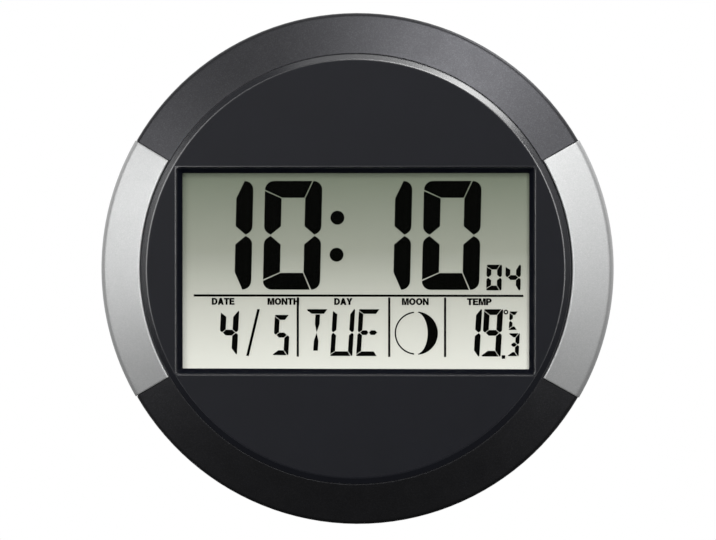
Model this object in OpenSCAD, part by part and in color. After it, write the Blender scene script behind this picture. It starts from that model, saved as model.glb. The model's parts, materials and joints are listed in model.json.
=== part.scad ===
// Round digital wall clock: bezel ring, raised fascia, reflective display, keys and battery bay at the back.
// Drawn lying down: x to the right, y up the wall, z out of the wall. Each piece is then stood upright.

/* [Case] */
// Depth from the wall to the front of the fascia
clock_depth = 28; // [27.5:0.5:34]
// Wall thickness of the front mouldings
front_wall = 2.4; // [2:0.1:2.8]
// Wall thickness of the rear cover
rear_wall = 2; // [1.8:0.1:2.2]
// Height of the joint line between the rear cover and the bezel
joint_h = 8; // [7:0.5:9]
// Width of the sloping wall around the flat back
rear_taper_w = 16; // [13:0.5:18]
// Height of the rear cover's tongue inside the bezel
tongue_h = 3; // [2:0.5:4]
// Step between the bezel's side and the rear cover's rim
rim_step = 0.4; // [0.2:0.1:1]
// Height of the upright edge of the rear cover's rim
rim_edge = 0.8; // [0.5:0.1:1.2]

/* [Bezel] */
// Width of the conical ring around the fascia
ring_w = 19.5; // [18:0.5:24]
// Fall of the ring from its inner to its outer edge
ring_fall = 7.9; // [6:0.1:9]
// Radius of the ring's rounded outer edge
bezel_edge_r = 3; // [2.5:0.5:4]
// Width of the ledge that carries the fascia
ledge_w = 3.3; // [2.5:0.1:3.6]
// Thickness of the ledge
ledge_t = 2; // [1.6:0.1:2.4]

/* [Side trims] */
// Angle that each side trim spans
trim_angle = 60; // [40:1:70]
// Thickness of a side trim
trim_t = 1.6; // [1.2:0.1:2]
// Height of a trim above the ring
trim_proud = 0.5; // [0.2:0.1:0.8]
// Distance of a trim from the ring's inner edge
trim_in = 0.5; // [0.3:0.1:1]
// Width of the rounding along a trim's inner edge
trim_round = 0.6; // [0.3:0.1:0.9]
// Height of a trim's lower edge above the joint line
trim_low = 3; // [2:0.5:4]
// Angle between a trim's locating pins
pin_angle = 20; // [12:1:22]
// Radius of a locating pin
pin_r = 1.5; // [1:0.1:2]
// Length of a locating pin below the trim
pin_len = 5; // [3.5:0.5:6]

/* [Fascia] */
// Distance from the window's corners to the edge of the fascia
corner_margin = 7.05; // [6.5:0.05:9]
// Width of the sloping lip around the fascia
lip_w = 2.9; // [2.4:0.1:3.2]
// Slope of the lip in degrees
lip_slope = 25; // [20:1:30]
// Rounding between the lip and the fascia's front
lip_round = 2.4; // [1.5:0.1:3]
// Rounding of the lip's outer edge
lip_edge_r = 0.4; // [0.3:0.05:0.6]
// Step from the fascia's front down to the ring
lip_drop = 3; // [3:0.1:3.6]
// Height of the fascia's rim
rim_h = 5; // [4.8:0.1:5.6]
// Width of the fascia's rim
rim_w = 2.6; // [2:0.1:3]
// Distance of the case screws inside the fascia's edge
case_screw_inset = 8.7; // [8:0.1:9.5]
// Radius of the bosses for the case screws
case_boss_r = 3.6; // [3:0.1:4]
// Radius of the bosses for the small screws
small_boss_r = 3.1; // [2.6:0.1:3.6]

/* [Window] */
// Width of the visible display
window_w = 165; // [150:1:180]
// Height of the visible display
window_h = 93; // [86:1:100]
// Distance of the window's centre below the clock's centre
window_drop = 0.9; // [0:0.1:2]
// Width of the sloping frame around the window
bevel_w = 2.9; // [2:0.1:3.2]
// Depth of the sloping frame
bevel_depth = 3; // [2.6:0.1:3.2]
// Corner radius of the frame's front edge
bevel_corner_r = 2.2; // [1:0.1:3]
// Corner radius of the window
window_corner_r = 0.5; // [0.3:0.1:1]
// Upright land behind the sloping frame
seat_lip = 0.4; // [0.2:0.1:0.6]
// Width of the collar behind the frame
collar_w = 4; // [3.5:0.1:4.5]

/* [Display stack] */
// Margin of the lens around the window
lens_margin = 2; // [1.5:0.1:2.2]
// Thickness of the lens
lens_t = 1.2; // [1:0.1:1.6]
// Thickness of the gasket behind the lens
gasket_t = 0.4; // [0.3:0.1:0.6]
// Width of the gasket
gasket_w = 1.4; // [1:0.1:1.8]
// Thickness of a polariser film
polariser_t = 0.2; // [0.15:0.05:0.3]
// Thickness of each display glass
glass_t = 1.1; // [0.7:0.1:1.1]
// Gap between the glasses, filled by the segments
cell_gap = 0.1; // [0.08:0.02:0.2]
// Margin of the glass at the sides of the window
glass_side = 2; // [1.5:0.1:2.4]
// Margin of the glass below the window
glass_bottom = 2.2; // [1.6:0.1:2.8]
// Margin of the front glass above the window, with the contacts
glass_contact = 5.6; // [5:0.1:6.4]
// Margin of the rear glass above the window
glass_top = 1.4; // [1:0.1:1.6]
// Width of the seal between the glasses
seal_w = 1; // [0.6:0.1:1.2]
// Thickness of the reflector film
reflector_t = 0.3; // [0.2:0.1:0.5]
// Thickness of the display holder
holder_t = 2; // [1.6:0.1:2.4]
// Border of the holder around the glass
holder_border = 1.5; // [1.2:0.1:1.8]
// Height of the holder's ribs beside the glass
holder_rib_h = 2; // [1:0.1:2.4]
// Distance of the holder's ears inside its side edges
ear_in = 24; // [20:1:30]
// Distance of the ears outside the holder
ear_out = 4.8; // [4.5:0.1:6]
// Radius of an ear
ear_r = 4; // [3.6:0.1:4.4]
// Distance of the contact strip's ends inside the window's sides
zebra_end = 16.5; // [14:0.5:24]
// Thickness of the contact strip
zebra_t = 2.2; // [1.6:0.1:2.4]
// Distance of the contact strip below the glass's upper edge
zebra_in = 2.3; // [2:0.1:2.6]

/* [Time digits] */
// Hours
hours = "10"; // ["08", "10", "12"]
// Minutes
minutes = "10"; // ["05", "10", "37"]
// Height of a time digit as a ratio of the window's height
digit_h_ratio = 0.557; // [0.48:0.001:0.56]
// Width of a time digit as a ratio of the window's width
digit_w_ratio = 0.1655; // [0.14:0.0005:0.17]
// Width of a time digit's bars as a ratio of the window's height
digit_bar_ratio = 0.0862; // [0.06:0.0002:0.09]
// Slant of the time digits in degrees
digit_slant = 1.3; // [0:0.1:3]

/* [Small digits] */
// Seconds
seconds = "04"; // ["04", "25", "59"]
// Day of the month
date_day = "4"; // ["1", "4", "8"]
// Number of the month
date_month = "5"; // ["2", "5", "7"]
// Temperature in whole degrees
temp_whole = "19"; // ["08", "19", "25"]
// Temperature in tenths of a degree
temp_tenth = "3"; // ["0", "3", "6"]
// Width of the moon's dark side as a ratio of the window's height
moon_dark_ratio = 0.0527; // [0.03:0.0005:0.08]

/* [Rear cover] */
// Radius of the wells around the case screws
well_r = 3.4; // [3.2:0.1:3.8]
// Depth of the wells
well_depth = 5.5; // [5:0.1:6]
// Wall around the wells
well_wall = 1.8; // [1.4:0.1:2.2]
// Radius of the hanger's round opening
hanger_r = 4.25; // [4:0.05:4.5]
// Half width of the hanger's slot
hanger_slot_r = 2.2; // [2:0.05:2.4]
// Distance from the round opening to the slot's upper end
hanger_travel = 9; // [8:0.5:10]
// Distance of the slot's upper end inside the flat back's edge
hanger_in = 15; // [13:0.5:18]
// Depth of the pocket behind the hanger
hanger_pocket = 5; // [4:0.5:6]
// Number of vent slots
vent_n = 6; // [3:1:7]
// Width of a vent slot
vent_w = 1.8; // [1.2:0.1:2.2]
// Length of a vent slot
vent_len = 15; // [10:1:16]
// Distance between the vent slots
vent_pitch = 3.8; // [3.4:0.1:4]
// Distance of the vents inside the circle of the case screws
vent_in = 21.5; // [20:0.5:23]

/* [Keys] */
// Distance between the keys
key_pitch = 20; // [18:0.5:21]
// Length of a key
key_len = 12; // [10:0.5:13]
// Width of a key
key_w = 6; // [5:0.5:7]
// Height of a key above the floor of its pocket
key_proud = 1.5; // [1.3:0.1:1.8]
// Depth of the pocket around the keys
key_pocket = 2.5; // [2.3:0.1:3]
// Travel of a key
key_travel = 1.2; // [0.8:0.1:1.4]
// Height of the key row above the board's lower edge
key_up = 15; // [13:0.5:17]
// Distance of the reset key from the last key
reset_out = 17; // [15:0.5:18]
// Radius of the reset key
reset_r = 1.5; // [1.2:0.1:1.8]
// Thickness of the key mat
mat_t = 1.2; // [1:0.1:1.5]
// Height of a dome on the key mat
dome_h = 2.7; // [2.4:0.1:3]

/* [Board] */
// Distance of the board's sides outside the ends of the contact strip
board_side = 12; // [11:0.5:13]
// Height of the main board
board_h = 44; // [42:0.5:46]
// Thickness of the main board
board_t = 1.6; // [1.2:0.1:1.8]
// Gap between the holder and the board
board_gap = 1.9; // [1.6:0.1:2.2]
// Distance of the board's upper edge above the contact strip
board_top_in = 4; // [3.5:0.1:5]
// Distance of the board's screws from its edges
board_screw_in = 5.5; // [5:0.1:6]

/* [Aerial] */
// Length of the ferrite rod
rod_len = 70; // [66:1:80]
// Radius of the ferrite rod
rod_r = 4.5; // [4:0.1:5]
// Length of the coil
coil_len = 30; // [20:1:34]
// Radius of the coil
coil_r = 6; // [5.6:0.1:6.4]
// Distance of the rod inside the fascia's edge
rod_in = 34.2; // [33:0.1:36]
// Distance of the rod behind the front plate
rod_behind = 8.6; // [8:0.1:10]
// Distance of the rod's holders inside its ends
rod_end = 7; // [5:0.5:9]

/* [Battery bay] */
// Diameter of a cell
cell_d = 14.5; // [13.8:0.1:14.6]
// Length of a cell with its nub
cell_len = 50.5; // [49:0.1:51]
// Distance between the cells
cell_apart = 0.8; // [0.5:0.1:1.2]
// Gap between the display's holder and the bay
bay_gap = 5.5; // [4.5:0.5:6.5]
// Length of a contact spring
spring_len = 5.4; // [5:0.1:6]
// Diameter of the spring wire
spring_wire = 0.6; // [0.5:0.05:0.6]
// Turns of a spring
spring_turns = 3.5; // [3:0.5:3.5]
// Thickness of the contact plates
plate_t = 0.4; // [0.3:0.05:0.5]
// Wall of the bay
bay_wall = 1.6; // [1.4:0.1:1.8]
// Thickness of the door
door_t = 1.8; // [1.6:0.1:2]
// Recess of the door's face behind the wall plane
door_recess = 0.7; // [0.6:0.05:0.9]
// Overlap of the door beyond the bay
door_over = 3.5; // [3:0.1:4.5]
// Width of the door's side tongues
door_tongue = 1.2; // [1:0.1:1.4]

/* [Clearances] */
// Gap around the fascia and between the trims and their pockets
seat_gap = 0.3; // [0.2:0.05:0.4]
// Gap between parts that touch
touch_gap = 0.05; // [0.02:0.01:0.1]
// Gap around sliding parts
slide_gap = 0.3; // [0.25:0.05:0.4]
// Radial gap around screws and pins
screw_gap = 0.15; // [0.05:0.05:0.25]

/* [Part] */
// Piece to draw

/* [Hidden] */
$fn = 72;
// Overlap of joined forms, and reach of cuts beyond a surface
eps = 0.01;
cut = 1;

// Levels above the wall
z_front = clock_depth;
z_plate = z_front - front_wall;
z_ring = z_front - lip_drop;
z_ledge = z_front - rim_h;
z_lens = z_front - bevel_depth - seat_lip;
z_gasket = z_lens - lens_t;
z_polariser = z_gasket - gasket_t;
z_glass = z_polariser - polariser_t;
z_cell = z_glass - glass_t;
z_rear_glass = z_cell - cell_gap;
z_reflector = z_rear_glass - glass_t;
z_holder = z_reflector - reflector_t;
z_holder_back = z_holder - holder_t;
z_board = z_holder_back - board_gap;
z_board_back = z_board - board_t;
z_mat = z_board_back - mat_t;
z_dome = z_mat - dome_h;

// Radii: the fascia encloses the window, the ring encloses the fascia
fascia_r = norm([window_w / 2, window_h / 2 + window_drop]) + corner_margin;
lip_start_r = fascia_r - lip_w - lip_round * tan(lip_slope / 2);
lip_edge_z = z_front - (lip_w - lip_edge_r) * tan(lip_slope) - lip_edge_r / cos(lip_slope);
bore_r = fascia_r + seat_gap;
bezel_r = bore_r + ring_w;
clock_r = bezel_r + trim_proud;
ledge_r = bore_r - ledge_w;
rim_r = bezel_r - rim_step;
tongue_r = bezel_r - front_wall - seat_gap;
flat_r = rim_r - rear_taper_w;
screw_ring_r = fascia_r - case_screw_inset;
screw_angles = [0, 60, 120, 180, 240, 300];
bezel_slope = atan2(ring_fall, ring_w);
lip_n = 12;
edge_n = 14;
corner_n = 6;
// Shape of the rounding along a trim's inner edge, in widths of the rounding
round_across_ratios = [0, 0.12, 0.45];
round_down_ratios = [1.3, 0.75, 0.45];

// Display outline
win_y = -window_drop;
win_y0 = win_y - window_h / 2;
win_y1 = win_y + window_h / 2;
lens_w = window_w + 2 * lens_margin;
lens_y0 = win_y0 - lens_margin;
lens_y1 = win_y1 + lens_margin;
glass_w = window_w + 2 * glass_side;
glass_y0 = win_y0 - glass_bottom;
glass_y1 = win_y1 + glass_contact;
rear_y1 = win_y1 + glass_top;
holder_w = glass_w + 2 * holder_border;
holder_y0 = glass_y0 - holder_border;
holder_y1 = glass_y1 + holder_border;
ear_x = holder_w / 2 - ear_in;
ear_y0 = holder_y0 - ear_out;
ear_y1 = holder_y1 + ear_out;
zebra_half = window_w / 2 - zebra_end;
zebra_y = glass_y1 - zebra_in;
board_w = 2 * (zebra_half + board_side);
board_y1 = zebra_y + board_top_in;
board_y0 = board_y1 - board_h;

// Display layout in ratios of the window's width and height. Each list holds a place across and up,
// width, height, bar width, corner cut, gap between bars, and slant in degrees.
time_ratios = [-0.3824, 0.1817, digit_w_ratio, digit_h_ratio, digit_bar_ratio, 0.0484, 0.0065, digit_slant];
seconds_ratios = [0.3988, -0.0333, 0.0442, 0.1312, 0.0245, 0.0097, 0.0032, 1.3];
day_ratios = [-0.3673, -0.3172, 0.053, 0.2226, 0.0294, 0.0065, 0.0032, 3];
month_ratios = [-0.2147, -0.3293, 0.045, 0.2065, 0.0255, 0.0065, 0.0032, 3];
week_ratios = [-0.1133, -0.3161, 0.0642, 0.2398, 0.0238, 0.0075, 0.0032, 3.6];
temp_ratios = [0.3329, -0.3161, 0.055, 0.2419, 0.0294, 0.0075, 0.0032, 3.2];
degree_c_ratios = [0.4558, -0.2538, 0.0273, 0.0946, 0.018, 0.0054, 0.0032, 3.2];
tenth_ratios = [0.4558, -0.3765, 0.0309, 0.1172, 0.021, 0.0054, 0.0032, 3.2];
week_day = "TUE";
digit_pitch_ratio = 0.1994;
pair_pitch_ratio = 0.4594;
seconds_pitch_ratio = 0.0545;
week_pitch_ratio = 0.0752;
temp_pitch_ratio = 0.0609;
colon_ratio = [-0.0545, 0.1774];
colon_r_ratio = 0.0356;
colon_step_ratio = 0.1892;
rule_v_ratio = -0.1269;
rule_t_ratio = 0.0115;
rule_gap_ratio = 0.0032;
rule_ends_ratio = [-0.4697, 0.483];
rule_foot_ratio = -0.4398;
upright_ratios = [-0.1679, 0.0964, 0.2576];
slash_across_ratios = [-0.3176, -0.3097, -0.2776, -0.2855];
slash_up_ratios = [-0.4366, -0.4366, -0.1968, -0.1968];
point_across_ratios = [0.4206, 0.4309];
point_up_ratios = [-0.4484, -0.4301];
degree_ratio = [0.4327, -0.2097];
degree_r_ratio = 0.0124;
degree_hole_ratio = 0.0054;
moon_ratio = [0.1745, -0.3183];
moon_r_ratio = 0.1108;
moon_ring_ratio = 0.0075;
moon_tip_ratio = 0.0043;
moon_half_angle = 84;
moon_n = 32;

// Screws
case_shank_r = 1.45;
case_len = 14;
case_head_r = 2.8;
case_head_h = 2.2;
small_shank_r = 1.1;
small_len = 6;
small_head_r = 2.1;
small_head_h = 1.6;
board_len = 4.6;
cross_len_ratio = 1.2;
cross_w_ratio = 0.24;
cross_depth_ratio = 0.55;
tip_ratio = 0.33;
// Room at the bottom of blind screw holes, and skin left in front of the shortest ones
hole_room = 1.6;
hole_skin = 0.3;

// Keys
key_n = 5;
key_y = board_y0 + key_up;
key_x0 = -key_pitch * (key_n - 1) / 2;
reset_x = -key_x0 + reset_out;
panel_z = key_pocket + rear_wall;
flange_t = 1.2;
flange_out = 1.5;
stem_r = 2;
reset_sunk = 0.6;
pocket_left = 11;
pocket_right = 7;
pocket_x0 = key_x0 - pocket_left;
pocket_x1 = reset_x + pocket_right;
pocket_room = 5;
pocket_h = key_w + 2 * pocket_room;
mat_room = 3;
mat_h = key_w + 2 * mat_room;
mat_left = 8;
mat_x0 = key_x0 - mat_left;
mat_x1 = reset_x + pocket_right;
mat_skin = 0.2;
mat_hole_r = 3.6;
dome_foot_r = 4.5;
dome_top_r = 2.8;
dome_skin = 0.8;
dome_slope_w = 0.4;
pill_r = 1.5;
z_pill = z_board_back - mat_skin - key_travel;

// Parts on the main board, placed in ratios of its width
chip_y = (key_y + mat_h / 2 + board_y1) / 2;
blob_r = 8;
blob_h = 2.2;
crystal_ratio = 0.141;
crystal_r = 1.5;
crystal_len = 8;
capacitor_ratios = [-0.269, -0.192];
capacitor_r = 3.2;
capacitor_h = 7;
capacitor_mark_l = 4.2;
capacitor_mark_w = 0.3;
capacitor_mark_d = 0.2;
resistor_ratios = [-0.372, -0.333, 0.231, 0.269, 0.308, 0.346];
resistor_len = 3.2;
resistor_w = 1.6;
resistor_h = 0.6;
sensor_in = 12;
sensor_up = 3;
sensor_r = 1.6;
sensor_down = 6.7;
sensor_leg_r = 0.35;
sensor_leg_x = 0.8;

// Aerial and receiver
rod_y = fascia_r - rod_in;
rod_z = z_plate - rod_behind;
rod_holder_x = rod_len / 2 - rod_end;
rod_foot_out = 10.5;
rod_foot_up = 3.5;
rod_foot_y = rod_y + rod_foot_out;
rod_foot_z = rod_z + rod_foot_up;
rod_foot_t = 2.5;
rod_foot_edge = 0.5;
saddle_w = 6;
saddle_wall = 2;
recv_w = 26;
recv_h = 16;
recv_t = 1;
recv_z = 6;
recv_in = 3;
recv_angle = 46.8;
recv_x = (screw_ring_r - recv_in) * cos(recv_angle);
recv_y = (screw_ring_r - recv_in) * sin(recv_angle);
recv_hole_x = 9.5;
recv_hole_up = 5;
recv_hole_y = recv_y + recv_hole_up;
recv_post_r = 2.6;
recv_thread = 2;
recv_chip_len = 8;
recv_chip_w = 5;
recv_chip_h = 1.5;
recv_chip_down = 4;

// Battery bay
cell_r = cell_d / 2;
row_step = (cell_d + cell_apart) / 2;
end_room = 0.1;
side_room = 1;
cell_up = 0.9;
door_gap = 0.1;
bay_half = (cell_len + spring_len) / 2 + plate_t + 2 * touch_gap + end_room;
bay_high = 2 * cell_d + cell_apart + side_room;
bay_y = holder_y0 - bay_gap - bay_wall - bay_high / 2;
door_in_z = door_recess + door_t;
bed_z = door_in_z + door_gap;
cell_z = bed_z + cell_up + cell_r;
bay_floor = cell_z + cell_r + seat_gap;
nub_len = 1;
nub_r = 2.7;
plate_h = 12;
tab_len = 5.5;
tab_w = 3;
tab_up = 4;
tab_z = cell_z + tab_up;
door_half = bay_half + door_over;
door_top = 1.6;
door_foot = 2;
door_y1 = bay_y + bay_high / 2 + door_top;
door_y0 = bay_y - bay_high / 2 - door_foot;
lip_z = 1.3;
shelf = 1.5;
rib_n = 4;
rib_h = 0.45;
rib_w = 1.2;
rib_pitch = 2.4;
rib_len = 22;
rib_up = 4;
arrow_w = 5;
arrow_down = 2;

// Contact springs
spring_r0 = 4.6;
spring_r1 = 2.6;
spring_side_n = 8;
spring_rise = 0.72;
spring_x0 = -bay_half + plate_t + 2 * touch_gap;
spring_x1 = spring_x0 + spring_len;
spring_rings = spring_side_n * spring_turns;

// Hanger
hanger_y = flat_r - hanger_in - hanger_travel;
hanger_seat_y = flat_r - hanger_in;
head_room = 1.8;
hanger_room = hanger_r + head_room;
hanger_wall = 1.5;

// Vents
vent_x = vent_in - screw_ring_r;
vent_y = 2;

// Wires
lead_r = 0.7;
thin_r = 0.4;
wire_side_n = 8;
lead_back = 3;
lead_x = bay_half + tab_len - lead_back;
lead_z = tab_z + plate_t + lead_r + touch_gap;
lead_end = z_board_back - touch_gap;
lead_drop = 4.7;
lead_low = z_board_back - lead_drop;
lead_out = 4.2;
lead_apart = 2.4;
lead_bend = 2;
lead_in = 4;
lead_lead = 9;
wire_apart = 3;
wire_in = 16;
wire_edge = 2;
wire_top = 5;
wire_drop = 3.7;
wire_low = z_board_back - wire_drop;
wire_half = 0.8;
wire_spread = 1.5;
wire_fan = 2;
wire_start = 9;
wire_under = 1.7;
wire_over = 2.5;
wire_reach = 16;

// Points of an arc, for outlines
function arc(cx, cy, r, a0, a1, n) =
  [for (i = [0:n]) let(a = a0 + (a1 - a0) * i / n) [cx + r * cos(a), cy + r * sin(a)]];

// Height of the ring's cone at a radius, moved along its normal
function cone_z(r, d) = z_ring - (r - bore_r) * tan(bezel_slope) + d / cos(bezel_slope);

// Front line of the ring from its bore to its side, moved along its normal
function front_line(r0, d) = let(er = bezel_edge_r + d, ro = bezel_r + d, s = bezel_slope,
  zc = cone_z(ro - er * (1 - sin(s)), d) - er * cos(s))
  concat([[r0, cone_z(r0, d)]], arc(ro - er, zc, er, 90 - s, 0, edge_n));

// Stands a piece that was drawn lying down upright against the wall
module stand() {
  rotate([90, 0, 0]) children();
}

module slab(w, y0, y1, z0, z1) {
  translate([-w / 2, y0, z0]) cube([w, y1 - y0, z1 - z0]);
}

module post(x, y, r, z0, z1) {
  translate([x, y, z0]) cylinder(r = r, h = z1 - z0);
}

module stadium(w, h, z0, z1) {
  translate([-(w - h) / 2, -h / 2, z0]) cube([w - h, h, z1 - z0]);
  for (s = [-1, 1]) translate([s * (w - h) / 2, 0, z0]) cylinder(r = h / 2, h = z1 - z0);
}

module rounded(w, h, r, t) {
  x = w / 2 - r;
  y = h / 2 - r;
  n = corner_n;
  linear_extrude(t) polygon(concat(arc(x, y, r, 0, 90, n), arc(-x, y, r, 90, 180, n),
    arc(-x, -y, r, 180, 270, n), arc(x, -y, r, 270, 360, n)));
}

module at_case_screws() {
  for (a = screw_angles) translate([screw_ring_r * cos(a), screw_ring_r * sin(a), 0]) children();
}

module at_ears() {
  for (s = [-1, 1], y = [ear_y0, ear_y1]) translate([s * ear_x, y, 0]) children();
}

module at_board_screws() {
  for (s = [-1, 1], y = [board_y0 + board_screw_in, board_y1 - board_screw_in])
    translate([s * (board_w / 2 - board_screw_in), y, 0]) children();
}

// Pan-head screw, head below zero, shank upwards
module screw(head_r, head_h, shank_r, len) {
  slot_l = head_r * cross_len_ratio;
  slot_w = head_r * cross_w_ratio;
  difference() {
    union() {
      translate([0, 0, -head_h]) cylinder(r = head_r, h = head_h);
      translate([0, 0, -eps]) cylinder(r = shank_r, h = len + eps);
      translate([0, 0, len - eps]) cylinder(r1 = shank_r, r2 = shank_r * tip_ratio, h = shank_r);
    }
    for (a = [0, 90]) rotate([0, 0, a]) translate([-slot_l / 2, -slot_w / 2, -head_h - cut])
      cube([slot_l, slot_w, cut + head_h * cross_depth_ratio]);
  }
}

// Round tube along points, with a frame that is carried along it
function unit(v) = v / norm(v);
function soften(p) = concat([p[0]],
  [for (i = [0:len(p) - 2], k = [0.25, 0.75]) p[i] * (1 - k) + p[i + 1] * k], [p[len(p) - 1]]);
function tangent(p, i) = unit(p[min(i + 1, len(p) - 1)] - p[max(i - 1, 0)]);
function carry(p, i, n) = i == len(p) ? [] : let(t = tangent(p, i), u = unit(n - (n * t) * t))
  concat([u], carry(p, i + 1, u));

module tube(p, r, sides, first) {
  n = len(p);
  frames = carry(p, 0, first);
  ring_points = [for (i = [0:n - 1]) let(u = frames[i], v = cross(tangent(p, i), u))
    for (k = [0:sides - 1]) p[i] + r * (cos(360 * k / sides) * u + sin(360 * k / sides) * v)];
  skin = [for (i = [0:n - 2], k = [0:sides - 1]) let(a = i * sides + k, b = i * sides + (k + 1) % sides)
    [a, a + sides, b + sides, b]];
  polyhedron(points = ring_points, faces = concat(skin, [[for (k = [0:sides - 1]) k]],
    [[for (k = [sides - 1:-1:0]) (n - 1) * sides + k]]));
}

// Wire along a few points, rounded at its bends
module wire(p, r, first) {
  tube(soften(soften(p)), r, wire_side_n, first);
}

// Segment outlines of a digit of half width w and half height h, with bars t wide
function slanted(p, s) = [for (q = p) [q[0] + q[1] * tan(s), q[1]]];
function flip_y(p) = [for (q = p) [q[0], -q[1]]];
function flip_x(p) = [for (q = p) [-q[0], q[1]]];
waist_ratio = 0.4;
shoulder_ratio = 0.35;
blade_ratio = 0.36;
shoulder_n = 4;
cut_n = 5;
function curve3(a, b, c, f) = (1 - f) * (1 - f) * a + 2 * (1 - f) * f * b + f * f * c;
function shoulder(w, t, m, g) = [for (i = [0:shoulder_n]) let(f = i / shoulder_n)
  [curve3(w, w, w - waist_ratio * t, f), curve3(m, g + (m - g) * shoulder_ratio, g, f)]];
function seg_b(w, h, t, c, g, m) = concat(arc(w - c + g, h - c + g, c - g, 90, 0, cut_n),
  shoulder(w, t, m, g), [[w - t, m], [w - t, h - t - g]]);
function seg_f(w, h, t, c, g, m) = concat([[-w, h - c - g]], flip_x(shoulder(w, t, m, g)),
  [[t - w, m], [t - w, h - t - g]]);
function seg_a(w, h, t, c, g) = concat(arc(c - g - w, h - c + g, c - g, 180, 90, cut_n),
  [[w - c - g, h], [w - t - g, h - t], [t + g - w, h - t]]);
function seg_g(w, t, g) = let(x = w - waist_ratio * t - 2 * g, y = w - t - g)
  [[-x, 0], [-y, t / 2], [y, t / 2], [x, 0], [y, -t / 2], [-y, -t / 2]];
function seg_p(w, t, g) = let(x = w - waist_ratio * t - 2 * g, y = w - t - g, e = g + t * waist_ratio)
  [[-x, 0], [-y, t / 2], [-e, t / 2], [-g, 0], [-e, -t / 2], [-y, -t / 2]];
function seg_i(h, t, g) = let(y = h - t - 2 * g, b = h * blade_ratio)
  [[-t / 2, y], [t / 2, y], [t / 2, b], [0, g], [-t / 2, b]];

// Segments that each character lights
function lit(ch) = ch == "0" ? "abcdef" : ch == "1" ? "bc" : ch == "2" ? "abged"
  : ch == "3" ? "abgcd" : ch == "4" ? "fgbc" : ch == "5" ? "afgcd" : ch == "6" ? "afgcde"
  : ch == "7" ? "abc" : ch == "8" ? "abcdefg" : ch == "9" ? "abcdfg" : ch == "C" ? "adef"
  : ch == "T" ? "ail" : ch == "U" ? "bcdef" : "adefpq";
function seg_line(q, w, h, t, c, g, m) = q == "a" ? seg_a(w, h, t, c, g)
  : q == "b" ? seg_b(w, h, t, c, g, m) : q == "c" ? flip_y(seg_b(w, h, t, c, g, m))
  : q == "d" ? flip_y(seg_a(w, h, t, c, g)) : q == "e" ? flip_y(seg_f(w, h, t, c, g, m))
  : q == "f" ? seg_f(w, h, t, c, g, m) : q == "g" ? seg_g(w, t, g)
  : q == "i" ? seg_i(h, t, g) : q == "l" ? flip_y(seg_i(h, t, g))
  : q == "p" ? seg_p(w, t, g) : flip_x(seg_p(w, t, g));

// One character of a layout box, moved across by a ratio of the window's width
module character(ch, box, across) {
  w = box[2] * window_w / 2;
  h = box[3] * window_h / 2;
  t = box[4] * window_h;
  c = box[5] * window_h;
  g = box[6] * window_h / 2;
  m = t / 2 + g;
  for (q = lit(ch)) translate([(box[0] + across) * window_w, win_y + box[1] * window_h, z_rear_glass])
    linear_extrude(cell_gap) polygon(slanted(seg_line(q, w, h, t, c, g, m), box[7]));
}

// Outline in the plane of the segments, measured from the window's centre
module patch(points) {
  translate([0, win_y, z_rear_glass]) linear_extrude(cell_gap) polygon(points);
}

module bar(u0, u1, v0, v1) {
  patch([[u0, v0], [u1, v0], [u1, v1], [u0, v1]]);
}

module dot(u, v, r) {
  translate([u, win_y + v, z_rear_glass]) cylinder(r = r, h = cell_gap);
}

// Ring behind the fascia, with a pocket for each side trim
module bezel_ring() {
  inner_r = bezel_r - front_wall;
  web_r = bore_r + front_wall;
  depth = trim_t - trim_proud;
  pocket_a = trim_angle + 2 * asin(seat_gap / bore_r);
  z_low = joint_h + trim_low - seat_gap;
  color([0.25, 0.25, 0.27]) stand() difference() {
    rotate_extrude() polygon(concat(front_line(bore_r, 0), [[bezel_r, joint_h], [inner_r, joint_h],
      [inner_r, cone_z(inner_r, -front_wall)], [web_r, cone_z(web_r, -front_wall)],
      [web_r, z_ledge - ledge_t], [ledge_r, z_ledge - ledge_t], [ledge_r, z_ledge], [bore_r, z_ledge]]));
    for (side = [0, 180]) rotate([0, 0, side - pocket_a / 2]) rotate_extrude(angle = pocket_a)
      polygon(concat(front_line(bore_r - cut, -depth), [[bezel_r - depth, z_low], [bezel_r + cut, z_low],
        [bezel_r + cut, z_front], [bore_r - cut, z_front]]));
    for (side = [0, 180], k = [-1, 0, 1]) rotate([0, 0, side + k * pin_angle])
      post((bore_r + bezel_r) / 2, 0, pin_r + screw_gap, joint_h, z_front);
    slab(glass_w + 2 * seat_gap, glass_y0 - seat_gap, glass_y1 + seat_gap, 0, z_ledge + eps);
  }
}

// Side trim with a rounded inner edge and three locating pins
module trim(side) {
  depth = trim_t - trim_proud - touch_gap;
  in_r = bore_r + trim_in;
  outer = front_line(in_r + trim_round, trim_proud);
  inner = front_line(in_r, -depth);
  z_low = joint_h + trim_low;
  top = cone_z(in_r, trim_proud);
  edge = [for (i = [0:2])
    [in_r + trim_round * round_across_ratios[i], top - trim_round * round_down_ratios[i]]];
  rotate([0, 0, side - trim_angle / 2]) rotate_extrude(angle = trim_angle)
    polygon(concat(edge, outer, [[clock_r, z_low], [bezel_r - depth, z_low]],
      [for (i = [len(inner) - 1:-1:0]) inner[i]]));
  pin_x = (bore_r + bezel_r) / 2;
  for (k = [-1, 0, 1]) rotate([0, 0, side + k * pin_angle])
    post(pin_x, 0, pin_r, cone_z(pin_x, -depth) - pin_len, cone_z(pin_x, -depth) + trim_t / 2);
}

module side_trim_left() {
  color([0.8, 0.8, 0.8]) stand() trim(180);
}

module side_trim_right() {
  color([0.8, 0.8, 0.8]) stand() trim(0);
}

module window_cut() {
  z_bevel = z_front - bevel_depth;
  translate([0, win_y, 0]) hull() {
    translate([0, 0, z_bevel]) rounded(window_w, window_h, window_corner_r, eps);
    translate([0, 0, z_front]) rounded(window_w + 2 * bevel_w, window_h + 2 * bevel_w, bevel_corner_r, cut);
  }
  slab(window_w, win_y0, win_y1, z_lens - cut, z_bevel + touch_gap);
}

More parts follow.
